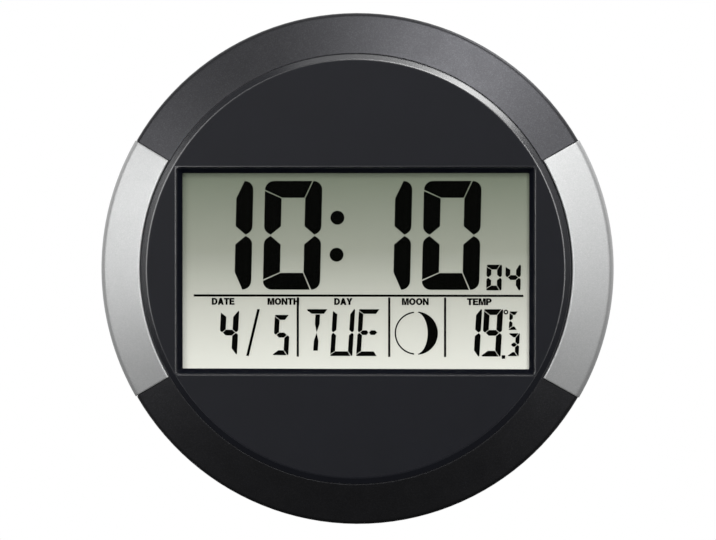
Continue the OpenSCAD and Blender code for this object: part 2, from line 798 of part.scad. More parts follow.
// Raised front disc with the window, its collar and the screw bosses behind it
module fascia() {
  boss_z = well_depth + rear_wall;
  top = z_plate + eps;
  small_hole_r = small_shank_r + screw_gap;
  case_hole_top = well_depth + case_len + case_shank_r + hole_room;
  color([0.14, 0.14, 0.16]) stand() difference() {
    union() {
      rotate_extrude() polygon(concat([[0, z_plate], [0, z_front]],
        arc(lip_start_r, z_front - lip_round, lip_round, 90, 90 - lip_slope, lip_n),
        arc(fascia_r - lip_edge_r, lip_edge_z, lip_edge_r, 90 - lip_slope, 0, lip_n),
        [[fascia_r, z_ledge], [fascia_r - rim_w, z_ledge], [fascia_r - rim_w, z_plate]]));
      slab(window_w + 2 * collar_w, win_y0 - collar_w, win_y1 + collar_w, z_lens, top);
      at_case_screws() post(0, 0, case_boss_r, boss_z, top);
      at_ears() post(0, 0, small_boss_r, z_holder, top);
      for (s = [-1, 1]) post(s * rod_holder_x, rod_foot_y, small_boss_r, rod_foot_z, top);
    }
    window_cut();
    at_case_screws() post(0, 0, case_shank_r + screw_gap, boss_z - cut, case_hole_top);
    at_ears() post(0, 0, small_hole_r, z_holder - cut, z_holder_back + small_len + hole_room);
    for (s = [-1, 1]) post(s * rod_holder_x, rod_foot_y, small_hole_r, rod_foot_z - cut, z_plate - hole_skin);
  }
}

// Clear lens behind the window
module window_lens() {
  color([0.9, 0.95, 0.95, 0.3]) stand() slab(lens_w, lens_y0, lens_y1, z_gasket, z_lens);
}

module lens_gasket() {
  color([0.1, 0.1, 0.1]) stand() difference() {
    slab(lens_w, lens_y0, lens_y1, z_polariser, z_gasket);
    slab(lens_w - 2 * gasket_w, lens_y0 + gasket_w, lens_y1 - gasket_w, z_polariser - cut, z_gasket + cut);
  }
}

module lcd_front_polariser() {
  color([0.6, 0.65, 0.6, 0.4]) stand() slab(lens_w, lens_y0, lens_y1, z_glass, z_polariser);
}

module lcd_front_glass() {
  color([0.8, 0.9, 0.85, 0.4]) stand() slab(glass_w, glass_y0, glass_y1, z_cell, z_glass);
}

// Lit segments between the two glasses
module lcd_segments() {
  pairs = [hours, minutes];
  rule_t = rule_t_ratio * window_h;
  rule_v = rule_v_ratio * window_h;
  color([0.02, 0.02, 0.02]) stand() union() {
    for (i = [0, 1], k = [0, 1])
      character(pairs[i][k], time_ratios, i * pair_pitch_ratio + k * digit_pitch_ratio);
    for (s = [-1, 1]) let(step = s * colon_step_ratio * window_h / 2)
      dot(colon_ratio[0] * window_w + step * tan(digit_slant), colon_ratio[1] * window_h + step,
        colon_r_ratio * window_h);
    for (k = [0, 1]) character(seconds[k], seconds_ratios, k * seconds_pitch_ratio);
    bar(rule_ends_ratio[0] * window_w, rule_ends_ratio[1] * window_w,
      rule_v - rule_t / 2, rule_v + rule_t / 2);
    for (u = upright_ratios) bar(u * window_w - rule_t / 2, u * window_w + rule_t / 2,
      rule_foot_ratio * window_h, rule_v - rule_t / 2 - rule_gap_ratio * window_h);
    character(date_day[0], day_ratios, 0);
    patch([for (i = [0:3]) [slash_across_ratios[i] * window_w, slash_up_ratios[i] * window_h]]);
    character(date_month[0], month_ratios, 0);
    for (k = [0, 1, 2]) character(week_day[k], week_ratios, k * week_pitch_ratio);
    for (k = [0, 1]) character(temp_whole[k], temp_ratios, k * temp_pitch_ratio);
    character("C", degree_c_ratios, 0);
    character(temp_tenth[0], tenth_ratios, 0);
    bar(point_across_ratios[0] * window_w, point_across_ratios[1] * window_w,
      point_up_ratios[0] * window_h, point_up_ratios[1] * window_h);
    degree_ring();
    moon_outline();
  }
}

module degree_ring() {
  u = degree_ratio[0] * window_w;
  v = degree_ratio[1] * window_h;
  difference() {
    dot(u, v, degree_r_ratio * window_h);
    post(u, win_y + v, degree_hole_ratio * window_h, z_rear_glass - cut, z_cell + cut);
  }
}

// Thin half ring on the left and the dark crescent on the right
module moon_outline() {
  half = moon_half_angle;
  n = moon_n;
  r = moon_r_ratio * window_h;
  e = r - moon_dark_ratio * window_h;
  ring_r = r - moon_ring_ratio * window_h;
  tip = r - moon_tip_ratio * window_h;
  translate([moon_ratio[0] * window_w, moon_ratio[1] * window_h, 0]) {
    patch(concat(arc(0, 0, r, 180 - half, 180 + half, n), arc(0, 0, ring_r, 180 + half, 180 - half, n)));
    patch(concat(arc(0, 0, r, -half, half, n),
      [for (i = [0:n]) let(a = half - 2 * half * i / n) [e * cos(a), tip * sin(a)]]));
  }
}

module lcd_seal() {
  color([0.6, 0.6, 0.55]) stand() difference() {
    slab(glass_w, glass_y0, rear_y1, z_rear_glass, z_cell);
    slab(glass_w - 2 * seal_w, glass_y0 + seal_w, rear_y1 - seal_w, z_rear_glass - cut, z_cell + cut);
  }
}

module lcd_rear_glass() {
  color([0.8, 0.9, 0.85, 0.4]) stand() slab(glass_w, glass_y0, rear_y1, z_reflector, z_rear_glass);
}

module lcd_reflector() {
  color([0.68, 0.7, 0.63]) stand() slab(glass_w, glass_y0, rear_y1, z_holder, z_reflector);
}

// Tray that presses the display against the window and carries the board
module lcd_holder() {
  rib0 = glass_w / 2 + seat_gap;
  rib_t = holder_border - seat_gap;
  rib_z = z_holder + holder_rib_h;
  zebra_room = zebra_t / 2 + seat_gap;
  hole_r = small_shank_r + screw_gap;
  color([0.85, 0.85, 0.82]) stand() difference() {
    union() {
      slab(holder_w, holder_y0, holder_y1, z_holder_back, z_holder);
      for (s = [-1, 1]) translate([s * (rib0 + rib_t / 2), win_y, 0])
        slab(rib_t, -window_h / 4, window_h / 4, z_holder - eps, rib_z);
      slab(window_w / 2, holder_y0, holder_y0 + rib_t, z_holder - eps, rib_z);
      slab(window_w / 2, holder_y1 - rib_t, holder_y1, z_holder - eps, rib_z);
      at_ears() post(0, 0, ear_r, z_holder_back, z_holder);
      for (s = [-1, 1]) translate([s * ear_x, 0, 0])
        slab(2 * ear_r, ear_y0, ear_y1, z_holder_back, z_holder);
      at_board_screws() post(0, 0, small_boss_r, z_board, z_holder_back + eps);
    }
    slab(2 * (zebra_half + seat_gap), zebra_y - zebra_room, zebra_y + zebra_room, z_board - cut, rib_z + cut);
    at_ears() post(0, 0, hole_r, z_board, z_front);
    at_board_screws() post(0, 0, hole_r, z_board - cut, z_holder + cut);
  }
}

module zebra_strip() {
  color([0.75, 0.5, 0.55]) stand()
    slab(2 * zebra_half, zebra_y - zebra_t / 2, zebra_y + zebra_t / 2, z_board, z_cell);
}

module main_board() {
  color([0.1, 0.35, 0.2]) stand() difference() {
    slab(board_w, board_y0, board_y1, z_board_back, z_board);
    at_board_screws() post(0, 0, small_shank_r + screw_gap, z_board_back - cut, z_board + cut);
  }
}

// Rounded resin cover over the bare clock chip
module clock_chip() {
  big = (blob_r * blob_r + blob_h * blob_h) / (2 * blob_h);
  span = asin(blob_r / big);
  color([0.04, 0.04, 0.04]) stand() translate([0, chip_y, z_board_back]) mirror([0, 0, 1])
    rotate_extrude() polygon(concat([[0, 0]], arc(0, blob_h - big, big, 90 - span, 90, lip_n)));
}

module crystal() {
  color([0.8, 0.8, 0.78]) stand()
    translate([crystal_ratio * board_w, chip_y, z_board_back - crystal_r - touch_gap])
      rotate([0, 90, 0]) cylinder(r = crystal_r, h = crystal_len);
}

module capacitors() {
  z0 = z_board_back - capacitor_h;
  color([0.15, 0.17, 0.3]) stand() for (k = capacitor_ratios) translate([k * board_w, chip_y, 0])
    difference() {
      post(0, 0, capacitor_r, z0, z_board_back);
      for (a = [0, 90]) rotate([0, 0, a])
        slab(capacitor_mark_l, -capacitor_mark_w / 2, capacitor_mark_w / 2, z0 - cut, z0 + capacitor_mark_d);
    }
}

module chip_resistors() {
  color([0.12, 0.12, 0.12]) stand() for (k = resistor_ratios) translate([k * board_w, chip_y, 0])
    slab(resistor_len, -resistor_w / 2, resistor_w / 2, z_board_back - resistor_h, z_board_back);
}

// Temperature sensor that stands on its two legs near the vents
module thermistor() {
  bead_z = z_board_back - sensor_down;
  color([0.15, 0.2, 0.35]) stand() translate([sensor_in - board_w / 2, board_y0 + sensor_up, 0]) {
    translate([0, 0, bead_z]) sphere(r = sensor_r);
    for (s = [-1, 1]) post(s * sensor_leg_x, 0, sensor_leg_r, bead_z, z_board_back);
  }
}

module receiver_board() {
  color([0.1, 0.35, 0.2]) stand() difference() {
    translate([recv_x, recv_y, 0]) slab(recv_w, -recv_h / 2, recv_h / 2, recv_z, recv_z + recv_t);
    for (s = [-1, 1]) post(recv_x + s * recv_hole_x, recv_hole_y, small_shank_r + screw_gap,
      recv_z - cut, recv_z + recv_t + cut);
  }
}

module receiver_chip() {
  color([0.06, 0.06, 0.06]) stand() translate([recv_x, recv_y - recv_chip_down, 0])
    slab(recv_chip_len, 0, recv_chip_w, recv_z + recv_t, recv_z + recv_t + recv_chip_h);
}

module ferrite_rod() {
  color([0.2, 0.2, 0.2]) stand() translate([-rod_len / 2, rod_y, rod_z]) rotate([0, 90, 0])
    cylinder(r = rod_r, h = rod_len);
}

module antenna_coil() {
  color([0.7, 0.4, 0.15]) stand() translate([-coil_len / 2, rod_y, rod_z]) rotate([0, 90, 0]) difference() {
    cylinder(r = coil_r, h = coil_len);
    translate([0, 0, -cut]) cylinder(r = rod_r + touch_gap, h = coil_len + 2 * cut);
  }
}

// Two saddles that hold the rod on bosses of the fascia
module antenna_holders() {
  a = rod_r + saddle_wall;
  color([0.85, 0.85, 0.82]) stand() for (s = [-1, 1]) translate([s * rod_holder_x, 0, 0]) difference() {
    union() {
      slab(saddle_w, rod_y - a, rod_y + a, rod_z - a, rod_z + a);
      slab(saddle_w, rod_y, rod_foot_y + small_boss_r + rod_foot_edge, rod_foot_z - rod_foot_t, rod_foot_z);
    }
    translate([-saddle_w, rod_y, rod_z]) rotate([0, 90, 0])
      cylinder(r = rod_r + 2 * touch_gap, h = 2 * saddle_w);
    post(0, rod_foot_y, small_shank_r + screw_gap, 0, z_front);
  }
}

// Two thin wires from the coil to the receiver
module antenna_leads() {
  z0 = rod_z - coil_r - thin_r - touch_gap;
  low = rod_z - rod_r - saddle_wall - wire_under;
  top = recv_z + recv_t;
  color([0.75, 0.45, 0.2]) stand() for (s = [-1, 1]) {
    y = rod_y + s * wire_half;
    end = recv_y + s * wire_fan;
    wire([[coil_len / 4, y, z0], [coil_len / 2 + wire_apart, y, z0], [rod_holder_x - wire_top, y, low],
      [rod_holder_x + wire_top, y, low], [recv_x - wire_reach, recv_y + s * wire_spread, top + wire_fan],
      [recv_x - wire_start, end, top + wire_over], [recv_x - wire_start, end, top + touch_gap]],
      thin_r, [0, 1, 0]);
  }
}

// Three wires from the receiver to the main board
module receiver_leads() {
  y0 = recv_y - recv_h / 2 + wire_edge;
  y1 = board_y1 - wire_top;
  top = recv_z + recv_t;
  color([0.85, 0.85, 0.3]) stand() for (k = [0, 1, 2]) {
    x0 = recv_x + k * wire_apart;
    x1 = board_w / 2 - wire_in + k * wire_apart;
    wire([[x0, y0, top + touch_gap], [x0, y0, top + wire_over], [x0, y0 - wire_apart, wire_low],
      [x1, y1 + wire_apart, wire_low], [x1, y1, wire_low], [x1, y1, lead_end]], thin_r, [1, 0, 0]);
  }
}

// Solid outline of the rear cover's dish
module dish(hollow) {
  slope = atan2(joint_h - rim_edge, rear_taper_w);
  nx = -rear_wall * sin(slope);
  nz = rear_wall * cos(slope);
  in_r = tongue_r - rear_wall;
  inner_z = nz + (in_r - flat_r - nx) * tan(slope);
  flat_in = flat_r + nx + (rear_wall - nz) / tan(slope);
  outside = [[0, 0], [flat_r, 0], [rim_r, joint_h - rim_edge], [rim_r, joint_h]];
  rotate_extrude() polygon(hollow
    ? concat(outside, [[tongue_r, joint_h], [tongue_r, joint_h + tongue_h], [in_r, joint_h + tongue_h],
      [in_r, inner_z], [flat_in, rear_wall], [0, rear_wall]])
    : concat(outside, [[0, joint_h]]));
}

module at_keys() {
  for (i = [0:key_n - 1]) translate([key_x0 + i * key_pitch, key_y, 0]) children();
}

module at_receiver_screws() {
  for (s = [-1, 1]) translate([recv_x + s * recv_hole_x, recv_hole_y, 0]) children();
}

// Flat-backed dish with the hanger, key pocket, vents and battery bay
module rear_cover() {
  bay_y0 = bay_y - bay_high / 2;
  bay_y1 = bay_y + bay_high / 2;
  bed_half = door_half + door_tongue + slide_gap;
  door_top_y = door_y1 + slide_gap;
  far = 2 * clock_r;
  pocket_w = pocket_x1 - pocket_x0;
  pocket_x = (pocket_x0 + pocket_x1) / 2;
  hang_y0 = hanger_y - hanger_room;
  hang_y1 = hanger_seat_y + hanger_room;
  hang_z = rear_wall + hanger_pocket;
  color([0.12, 0.12, 0.13]) stand() difference() {
    union() {
      dish(true);
      slab(2 * (bay_half + bay_wall), bay_y0 - bay_wall, bay_y1 + bay_wall, 0, bay_floor + bay_wall);
      intersection() {
        slab(2 * (bed_half + shelf), -far, door_top_y + shelf, 0, bed_z + rear_wall);
        dish(false);
      }
      translate([pocket_x, key_y, 0]) slab(pocket_w + 2 * rear_wall, -pocket_h / 2 - rear_wall,
        pocket_h / 2 + rear_wall, 0, panel_z);
      slab(2 * (hanger_room + hanger_wall), hang_y0 - hanger_wall, hang_y1 + hanger_wall,
        0, hang_z + hanger_wall);
      at_case_screws() post(0, 0, well_r + well_wall, 0, well_depth + rear_wall);
      at_receiver_screws() post(0, 0, recv_post_r, 0, recv_z);
    }
    slab(2 * bay_half, bay_y0, bay_y1, -cut, bay_floor);
    slab(2 * (door_half + slide_gap), -far, door_top_y, -cut, bed_z);
    slab(2 * bed_half, -far, door_top_y, lip_z, bed_z);
    for (row = [row_step, -row_step]) translate([bay_half + bay_wall / 2, bay_y + row, 0])
      slab(bay_wall + 2 * cut, -tab_w / 2 - slide_gap, tab_w / 2 + slide_gap,
        tab_z - slide_gap, tab_z + plate_t + slide_gap);
    translate([pocket_x, key_y, 0]) slab(pocket_w, -pocket_h / 2, pocket_h / 2, -cut, key_pocket);
    at_keys() stadium(key_len + 2 * slide_gap, key_w + 2 * slide_gap, -cut, panel_z + cut);
    post(reset_x, key_y, reset_r + slide_gap, -cut, panel_z + cut);
    slab(2 * hanger_room, hang_y0, hang_y1, rear_wall, hang_z);
    post(0, hanger_y, hanger_r, -cut, rear_wall + eps);
    post(0, hanger_seat_y, hanger_slot_r, -cut, rear_wall + eps);
    slab(2 * hanger_slot_r, hanger_y, hanger_seat_y, -cut, rear_wall + eps);
    at_case_screws() post(0, 0, well_r, -cut, well_depth);
    at_case_screws() post(0, 0, case_shank_r + screw_gap, 0, well_depth + rear_wall + cut);
    at_receiver_screws() post(0, 0, small_shank_r + screw_gap, rear_wall / 2, recv_z + cut);
    for (i = [0:vent_n - 1]) translate([vent_x + (i - (vent_n - 1) / 2) * vent_pitch, vent_y, 0])
      slab(vent_w, -vent_len / 2, vent_len / 2, -cut, rear_wall + cut);
  }
}

// Door that slides down out of its grooves, with grip ribs and an arrow
module battery_door() {
  rib_z = door_recess - rib_h;
  color([0.12, 0.12, 0.13]) stand() union() {
    slab(2 * door_half, door_y0, door_y1, door_recess, door_in_z);
    slab(2 * (door_half + door_tongue), door_y0, door_y1, lip_z + slide_gap, door_in_z);
    for (i = [0:rib_n - 1]) translate([0, bay_y + rib_up + i * rib_pitch, 0])
      slab(rib_len, 0, rib_w, rib_z, door_recess + eps);
    translate([0, bay_y - arrow_down, rib_z]) linear_extrude(rib_h + eps)
      polygon([[-arrow_w, 0], [arrow_w, 0], [0, -arrow_w]]);
  }
}

module at_rows() {
  translate([0, bay_y + row_step, cell_z]) children();
  translate([0, bay_y - row_step, cell_z]) mirror([1, 0, 0]) children();
}

// Two plain cylindrical cells with their nubs
module battery_cells() {
  end_x = bay_half - plate_t - 2 * touch_gap;
  body = cell_len - nub_len;
  color([0.2, 0.35, 0.3]) stand() at_rows() rotate([0, 90, 0]) {
    translate([0, 0, end_x - cell_len]) cylinder(r = cell_r, h = body);
    translate([0, 0, end_x - nub_len - eps]) cylinder(r = nub_r, h = nub_len + eps);
  }
}

// Path of a conical contact spring, and the least gap between its turns
spring_coil = [for (i = [0:spring_rings]) let(f = i / spring_rings, a = 360 * spring_turns * f,
  r = spring_r0 + (spring_r1 - spring_r0) * f)
  [spring_x0 + spring_rise + (spring_len - 2 * spring_rise) * f, r * cos(a), r * sin(a)]];
spring_end = spring_coil[len(spring_coil) - 1];
spring_path = concat([[spring_x0 + touch_gap, spring_r0, 0]], spring_coil,
  [[spring_x1 - touch_gap, spring_end[1], spring_end[2]]]);
spring_least = min([for (i = [0:len(spring_coil) - 1], j = [0:len(spring_coil) - 1])
  if (j - i > spring_side_n / 2) norm(spring_coil[j] - spring_coil[i])]) - spring_wire;
echo(battery_spring_least_gap = spring_least);

module battery_springs() {
  color([0.8, 0.8, 0.8]) stand() at_rows() tube(spring_path, spring_wire / 2, wire_side_n, [0, 1, 0]);
}

module plate(h0, h1) {
  translate([0, h0, -plate_h / 2]) cube([plate_t, h1 - h0, plate_h]);
}

// Plate that joins the two cells at the left end
module bridge_contact() {
  color([0.8, 0.8, 0.75]) stand() translate([-bay_half + touch_gap, bay_y, cell_z])
    plate(-row_step - plate_h / 2, row_step + plate_h / 2);
}

module end_contact(row) {
  color([0.8, 0.8, 0.75]) stand() translate([bay_half - touch_gap - plate_t, bay_y + row, 0]) {
    translate([0, 0, cell_z]) plate(-plate_h / 2, plate_h / 2);
    translate([0, -tab_w / 2, tab_z]) cube([tab_len, tab_w, plate_t]);
  }
}

module positive_contact() {
  end_contact(row_step);
}

module negative_contact() {
  end_contact(-row_step);
}

// Wire from a contact's tab past the display's holder to the main board
module battery_lead(y, out) {
  x = bay_half + bay_wall + out;
  wire([[lead_x, y, lead_z], [x - lead_bend, y, lead_z], [x, y + 2 * lead_bend, lead_z],
    [x, holder_y0 + lead_lead, lead_low + lead_r], [x, board_y0 - lead_lead, lead_low],
    [x, board_y0 + lead_in, lead_low], [x, board_y0 + lead_in, lead_end]], lead_r, [0, 0, 1]);
}

module positive_lead() {
  color([0.7, 0.05, 0.05]) stand() battery_lead(bay_y + row_step, lead_out);
}

module negative_lead() {
  color([0.05, 0.05, 0.05]) stand() battery_lead(bay_y - row_step, lead_out + lead_apart);
}

// Hollow dome with a contact pill, drawn downwards from the mat
module dome() {
  rotate_extrude() polygon([[0, z_dome], [dome_top_r, z_dome], [dome_foot_r, z_mat],
    [dome_foot_r, z_mat + eps], [dome_foot_r - dome_skin, z_mat + eps],
    [dome_top_r - dome_slope_w, z_dome + dome_skin],
    [pill_r, z_dome + dome_skin], [pill_r, z_pill], [0, z_pill]]);
}

module key_mat() {
  hole_z = z_board_back - mat_skin;
  color([0.5, 0.5, 0.52]) stand() difference() {
    union() {
      translate([(mat_x0 + mat_x1) / 2, key_y, 0])
        slab(mat_x1 - mat_x0, -mat_h / 2, mat_h / 2, z_mat, z_board_back);
      at_keys() dome();
      translate([reset_x, key_y, 0]) dome();
    }
    at_keys() post(0, 0, mat_hole_r, z_mat - eps, hole_z);
    post(reset_x, key_y, mat_hole_r, z_mat - eps, hole_z);
  }
}

module key(i) {
  z0 = panel_z + touch_gap;
  color([0.3, 0.3, 0.32]) stand() translate([key_x0 + i * key_pitch, key_y, 0]) {
    stadium(key_len, key_w, key_pocket - key_proud, z0 + eps);
    stadium(key_len + 2 * flange_out, key_w + 2 * flange_out, z0, z0 + flange_t);
    post(0, 0, stem_r, panel_z + flange_t, z_dome - touch_gap);
  }
}

module set_key() {
  key(0);
}

module plus_key() {
  key(1);
}

module minus_key() {
  key(2);
}

module unit_key() {
  key(3);
}

module wave_key() {
  key(4);
}

// Small key below the pocket's floor, pressed with a pin
module reset_key() {
  z0 = panel_z + touch_gap;
  color([0.3, 0.3, 0.32]) stand() translate([reset_x, key_y, 0]) {
    post(0, 0, reset_r, key_pocket + reset_sunk, z0 + eps);
    post(0, 0, reset_r + flange_out, z0, z0 + flange_t);
    post(0, 0, reset_r, panel_z + flange_t, z_dome - touch_gap);
  }
}

module case_screws() {
  color([0.6, 0.6, 0.62]) stand() at_case_screws() translate([0, 0, well_depth - touch_gap])
    screw(case_head_r, case_head_h, case_shank_r, case_len);
}

module holder_screws() {
  color([0.6, 0.6, 0.62]) stand() at_ears() translate([0, 0, z_holder_back - touch_gap])
    screw(small_head_r, small_head_h, small_shank_r, small_len);
}

module board_screws() {
  color([0.6, 0.6, 0.62]) stand() at_board_screws() translate([0, 0, z_board_back - touch_gap])
    screw(small_head_r, small_head_h, small_shank_r, board_len - small_shank_r);
}

module antenna_screws() {
  color([0.6, 0.6, 0.62]) stand() for (s = [-1, 1])
    translate([s * rod_holder_x, rod_foot_y, rod_foot_z - rod_foot_t - touch_gap])
      screw(small_head_r, small_head_h, small_shank_r, small_len - small_shank_r);
}

module receiver_screws() {
  color([0.6, 0.6, 0.62]) stand() at_receiver_screws()
    translate([0, 0, recv_z + recv_t + touch_gap]) mirror([0, 0, 1])
      screw(small_head_r, small_head_h, small_shank_r, recv_t + recv_thread);
}

bezel_ring();
side_trim_left();
side_trim_right();
fascia();
window_lens();
lens_gasket();
lcd_front_polariser();
lcd_front_glass();
lcd_segments();
lcd_seal();
lcd_rear_glass();
lcd_reflector();
lcd_holder();
zebra_strip();
main_board();
clock_chip();
crystal();
capacitors();
chip_resistors();
thermistor();
receiver_board();
receiver_chip();
ferrite_rod();
antenna_coil();
antenna_holders();
antenna_leads();
receiver_leads();
rear_cover();
battery_door();
battery_cells();
battery_springs();
bridge_contact();
positive_contact();
negative_contact();
positive_lead();
negative_lead();
key_mat();
set_key();
plus_key();
minus_key();
unit_key();
wave_key();
reset_key();
case_screws();
holder_screws();
board_screws();
antenna_screws();
receiver_screws();
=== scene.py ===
"""Looks, light and camera for the digital wall clock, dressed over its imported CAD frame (metres, +Z up)."""
import json
import math

import bmesh
import bpy
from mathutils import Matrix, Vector
from mathutils.geometry import tessellate_polygon


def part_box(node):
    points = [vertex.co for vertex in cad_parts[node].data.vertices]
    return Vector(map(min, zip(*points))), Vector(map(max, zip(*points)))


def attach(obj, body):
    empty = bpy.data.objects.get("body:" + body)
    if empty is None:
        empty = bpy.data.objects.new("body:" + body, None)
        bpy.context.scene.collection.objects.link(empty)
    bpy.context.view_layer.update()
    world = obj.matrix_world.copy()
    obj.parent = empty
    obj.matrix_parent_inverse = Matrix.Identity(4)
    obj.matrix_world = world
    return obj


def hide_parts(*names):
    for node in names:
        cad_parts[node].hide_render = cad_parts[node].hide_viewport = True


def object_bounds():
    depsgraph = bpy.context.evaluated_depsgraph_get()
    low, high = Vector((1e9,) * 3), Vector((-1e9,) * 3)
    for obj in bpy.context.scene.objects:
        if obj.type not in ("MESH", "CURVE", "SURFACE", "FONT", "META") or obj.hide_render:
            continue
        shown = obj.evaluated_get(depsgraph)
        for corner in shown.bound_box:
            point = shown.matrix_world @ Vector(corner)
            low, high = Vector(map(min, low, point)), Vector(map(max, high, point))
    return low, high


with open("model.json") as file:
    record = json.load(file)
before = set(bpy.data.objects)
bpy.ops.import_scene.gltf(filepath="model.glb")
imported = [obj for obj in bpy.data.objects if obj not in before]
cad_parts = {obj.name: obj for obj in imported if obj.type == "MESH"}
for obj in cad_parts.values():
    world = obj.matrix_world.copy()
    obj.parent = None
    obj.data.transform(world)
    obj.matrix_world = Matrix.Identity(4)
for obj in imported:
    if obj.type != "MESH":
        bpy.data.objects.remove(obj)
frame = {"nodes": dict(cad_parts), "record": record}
cad_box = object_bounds()
nodes = frame["nodes"]

# Photograph: frame in pixels, and where the clock's centre and edge lie in it
FRAME_W, FRAME_H = 716, 540
CENTRE_PX = (356.8, 268.7)
RADIUS_PX = 256.4

# Soft boxes: name, place, width and height, power. Then the dim studio that the front mirrors and the
# brighter one behind the clock, each from low to high, and where one passes into the other
LIGHTS = [
    ("key", (0.44, -1.15, 1.00), (0.48, 0.42), 2.8),
    ("key_wide", (0.45, -1.1, 1.05), (1.1, 0.35), 10.4),
    ("top", (-0.1, -1.0, 1.25), (0.8, 0.3), 1.0),
    ("front_left", (-0.6, -1.5, 0.35), (0.7, 0.7), 8.6),
    ("left", (-1.1, -1.2, 0.20), (0.5, 0.9), 7.4),
    ("right", (0.85, -1.4, 0.25), (0.3, 0.9), 10.7),
    ("rim", (0.70, 0.42, 1.15), (0.6, 0.6), 6.0),
]
SKY_SPAN = (-0.3, 0.7)
SKY_LOW = (0.042, 0.042, 0.043)
SKY_HIGH = (0.14, 0.14, 0.143)
BACK_SPAN = (-0.7, 0.1)
BACK_LOW = (0.05, 0.05, 0.05)
BACK_HIGH = (0.95, 0.95, 0.95)
FRONT_TO_BACK = (-0.35, 0.25)

# Camera: in front of the display, a little to the right and above, far enough away for a flat view
CAMERA_AWAY = 2.0
CAMERA_TURN = math.radians(3.4)
CAMERA_RISE = math.radians(1.0)
SENSOR = 36.0

# Window in the fascia: its lower and upper edge, half its width, the width of its bevel,
# and how far the polish reaches to each side of the bevel's outer edge
WINDOW_LOW, WINDOW_HIGH = -0.0474, 0.0456
WINDOW_HALF = 0.0825
BEVEL_W = 0.0029
EDGE_GLOSS = 0.0006

# Fascia: radius where the polished lip begins and the width of that change, then roughness, reflection
# and the rounding of its edges
LIP_FROM = 0.0990
LIP_BLEND = 0.0006
SATIN_ROUGH = (0.42, 0.50)
POLISHED_ROUGH = 0.24
FASCIA_IOR = 1.6
SATIN_GLOSS, POLISHED_GLOSS = 0.145, 0.88
BEVEL_GLOSS_SHARE = 0.3
FASCIA_EDGE = 0.00045

# Share of gloss on the clear lens; the display's film from its lower to its upper edge, its grey-green colour
# with painted shade that darkens it towards the top, and its sparkle
LENS_GLOSS = 0.007
FILM_SHADE_STOPS = [(0.0, (0.775, 0.752, 0.71)), (0.3, (0.563, 0.548, 0.506)),
              (0.6, (0.302, 0.306, 0.262)), (1.0, (0.152, 0.170, 0.127))]
FILM_SPARKLE = 0.06

# Scales of the noise in mouldings: clouds of colour, patches of gloss, and grain
CLOUDS, PATCHES, GRAIN = 60, 140, 2500


def new_material(name):
    """A material with an empty Principled node, returned with its tree and shader."""
    mat = bpy.data.materials.new(name)
    mat.use_nodes = True
    tree = mat.node_tree
    return mat, tree, tree.nodes["Principled BSDF"]


def node(tree, kind, **values):
    """A new node with some of its properties and inputs set by name."""
    n = tree.nodes.new(kind)
    for key, value in values.items():
        if hasattr(n, key):
            setattr(n, key, value)
        else:
            n.inputs[key.replace("_", " ")].default_value = value
    return n


def object_coords(tree):
    return node(tree, "ShaderNodeTexCoord").outputs["Object"]


def noise(tree, scale, detail):
    n = node(tree, "ShaderNodeTexNoise", Scale=scale, Detail=detail)
    tree.links.new(object_coords(tree), n.inputs["Vector"])
    return n.outputs["Fac"]


def ramp(tree, fac, stops):
    """A colour ramp over (place, colour) stops, fed by a factor."""
    r = node(tree, "ShaderNodeValToRGB")
    while len(r.color_ramp.elements) < len(stops):
        r.color_ramp.elements.new(0.5)
    for e, (place, colour) in zip(r.color_ramp.elements, stops):
        e.position = place
        e.color = (*colour, 1)
    tree.links.new(fac, r.inputs["Fac"])
    return r.outputs["Color"]


def spread(tree, fac, low, high):
    """Maps a factor from 0..1 to low..high."""
    m = node(tree, "ShaderNodeMapRange")
    m.inputs["To Min"].default_value = low
    m.inputs["To Max"].default_value = high
    tree.links.new(fac, m.inputs["Value"])
    return m.outputs["Result"]


def spread_from(tree, value, low, high):
    """Maps a value from low..high to 0..1."""
    m = node(tree, "ShaderNodeMapRange")
    m.inputs["From Min"].default_value = low
    m.inputs["From Max"].default_value = high
    tree.links.new(value, m.inputs["Value"])
    return m.outputs["Result"]


def bump(tree, height, strength, distance, edge=0.0):
    """A bump normal; with an edge radius, corners catch light as if they were rounded."""
    b = node(tree, "ShaderNodeBump", Strength=strength, Distance=distance)
    tree.links.new(height, b.inputs["Height"])
    if edge:
        e = node(tree, "ShaderNodeBevel", samples=6, Radius=edge)
        tree.links.new(e.outputs["Normal"], b.inputs["Normal"])
    return b.outputs["Normal"]


def shade(colour, vary=0.12):
    """A darker and a lighter shade around a colour."""
    return tuple(c * (1 - vary) for c in colour), tuple(c * (1 + vary) for c in colour)


def plastic(name, colour, rough, grain=GRAIN, grain_depth=0.00002, edge=0.0003, gloss=0.5):
    """Moulded or painted plastic: cloudy colour, uneven gloss, fine grain and softened edges."""
    mat, tree, shader = new_material(name)
    dark, light = shade(colour)
    cloud = ramp(tree, noise(tree, CLOUDS, 3), [(0.3, dark), (0.7, light)])
    tree.links.new(cloud, shader.inputs["Base Color"])
    uneven = spread(tree, noise(tree, PATCHES, 4), rough - 0.05, rough + 0.05)
    tree.links.new(uneven, shader.inputs["Roughness"])
    tree.links.new(bump(tree, noise(tree, grain, 2), 0.25, grain_depth, edge), shader.inputs["Normal"])
    shader.inputs["Specular IOR Level"].default_value = gloss
    return mat


